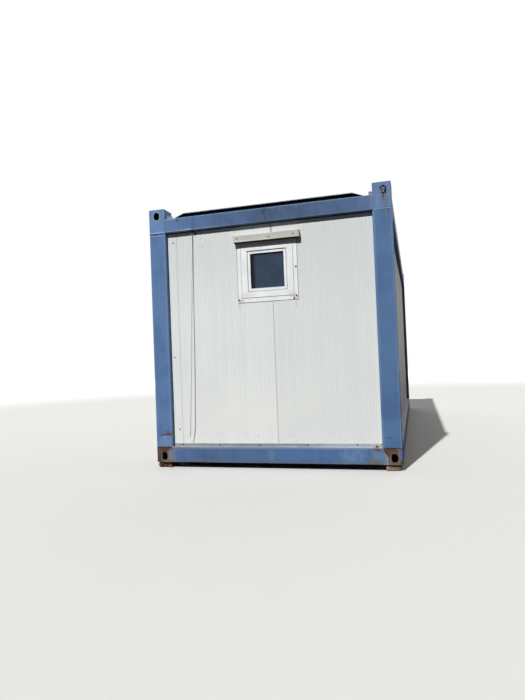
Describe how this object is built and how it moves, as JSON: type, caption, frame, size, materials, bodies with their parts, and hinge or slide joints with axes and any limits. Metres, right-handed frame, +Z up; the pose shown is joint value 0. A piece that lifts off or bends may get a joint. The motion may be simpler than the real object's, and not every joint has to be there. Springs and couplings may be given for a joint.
{
  "type": "portable site cabin",
  "caption": "Portable site cabin on a blue container-type steel frame, with white ribbed sandwich walls, a small end window and hollow corner fittings for lifting.",
  "frame": {"origin": "centre of the footprint at the underside of the four packers, on the ground", "axes": "+Z up; the end with the small window faces -Y, the end with the door faces +Y; the length runs along Y"},
  "size_m": [2.438, 6.0985, 2.646],
  "materials": {
    "blue_frame": "weathered blue paint with rust at the edges",
    "rusted_fitting": "blue paint worn down to rust",
    "white_panel": "coated sheet with fine upright ribs",
    "flashing": "dirty grey-blue folded sheet",
    "floor_board": "sealed board",
    "ceiling_lining": "white lined sheet",
    "roof_sheet": "dull galvanised sheet",
    "roof_filler": "black closed-cell foam",
    "window_plastic": "white window plastic, a little stained",
    "window_glass": "clear double glazing with a dark room behind",
    "weathered_batten": "weathered timber with worn pale paint",
    "door_leaf": "white steel sheet",
    "door_frame": "pale grey painted steel",
    "handle_steel": "brushed steel",
    "gland": "black rubber",
    "cable_sheath": "light grey sheath",
    "packer_stone": "rough brown packing block"
  },
  "bodies": {
    "root": {"base_flashings": "flashing", "cable_gland": "gland", "ceiling_panel": "ceiling_lining", "corner_packers": "packer_stone", "door_frame": "door_frame", "door_handle": "handle_steel", "door_head_batten": "weathered_batten", "door_leaf": "door_leaf", "floor_cross_members": "blue_frame", "floor_deck": "floor_board", "front_header": "blue_frame", "front_left_bottom_corner": "rusted_fitting", "front_left_corner_post": "blue_frame", "front_left_top_corner": "blue_frame", "front_right_bottom_corner": "rusted_fitting", "front_right_corner_post": "blue_frame", "front_right_top_corner": "blue_frame", "front_sill": "blue_frame", "front_wall_left_strip": "white_panel", "front_wall_middle_panel": "white_panel", "front_wall_right_panel": "white_panel", "hanging_cable": "cable_sheath", "left_floor_rail": "blue_frame", "left_roof_rail": "blue_frame", "left_wall_panels": "white_panel", "rear_header": "blue_frame", "rear_left_bottom_corner": "rusted_fitting", "rear_left_corner_post": "blue_frame", "rear_left_top_corner": "blue_frame", "rear_right_bottom_corner": "rusted_fitting", "rear_right_corner_post": "blue_frame", "rear_right_top_corner": "blue_frame", "rear_sill": "blue_frame", "rear_wall_left_panel": "white_panel", "rear_wall_over_door": "white_panel", "rear_wall_right_panel": "white_panel", "right_floor_rail": "blue_frame", "right_roof_rail": "blue_frame", "right_wall_panels": "white_panel", "roof_cover": "roof_sheet", "roof_end_fillers": "roof_filler", "window_frame": "window_plastic", "window_glass": "window_glass", "window_head_batten": "weathered_batten", "window_sash": "window_plastic", "window_trim": "window_plastic"}
  },
  "joints": []
}
